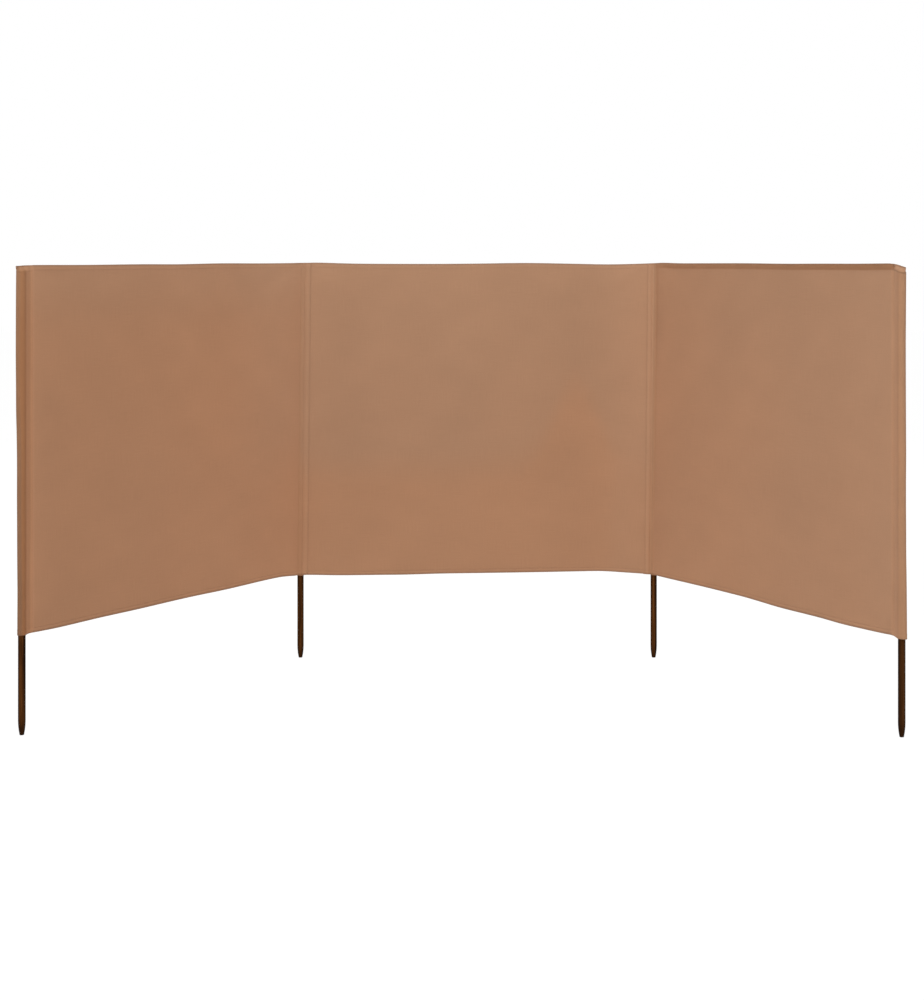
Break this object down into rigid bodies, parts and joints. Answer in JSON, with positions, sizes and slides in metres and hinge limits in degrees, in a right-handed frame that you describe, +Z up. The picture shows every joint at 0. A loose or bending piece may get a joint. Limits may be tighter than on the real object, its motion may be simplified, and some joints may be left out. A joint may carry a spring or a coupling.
{
  "type": "beach windbreak",
  "caption": "Cloth windbreak in equal bays on round wooden posts with tapered points, wings folding forward at the inner posts to form an open U that shelters from wind.",
  "frame": {"origin": "centre of the flat end of the inner left post's point, where it stands on the ground line", "axes": "+X along the middle bay from left to right seen from the open side, +Y out of the back of the U, +Z up"},
  "size_m": [2.8678, 1.194, 1.5203],
  "materials": {
    "cloth": "plain woven tan cotton, matt",
    "posts": "dark brown stained, satin"
  },
  "bodies": {
    "middle_bay": {"middle_cloth": "cloth", "middle_top_hem": "cloth", "middle_bottom_hem": "cloth", "inner_left_pocket": "cloth", "inner_left_post": "posts", "inner_right_pocket": "cloth", "inner_right_post": "posts"},
    "left_wing": {"left_wing_cloth": "cloth", "left_wing_top_hem": "cloth", "left_wing_bottom_hem": "cloth", "outer_left_pocket": "cloth", "outer_left_post": "posts"},
    "right_wing": {"right_wing_cloth": "cloth", "right_wing_top_hem": "cloth", "right_wing_bottom_hem": "cloth", "outer_right_pocket": "cloth", "outer_right_post": "posts"}
  },
  "joints": [
    {"name": "left_wing_fold", "type": "hinge", "parent": "middle_bay", "child": "left_wing", "pos_m": [0, -0.0141, 0.92], "axis": [0, 0, 1], "range_deg": [-56, 54]},
    {"name": "right_wing_fold", "type": "hinge", "parent": "middle_bay", "child": "right_wing", "pos_m": [1.36, -0.0141, 0.92], "axis": [0, 0, -1], "range_deg": [-58, 52]}
  ]
}
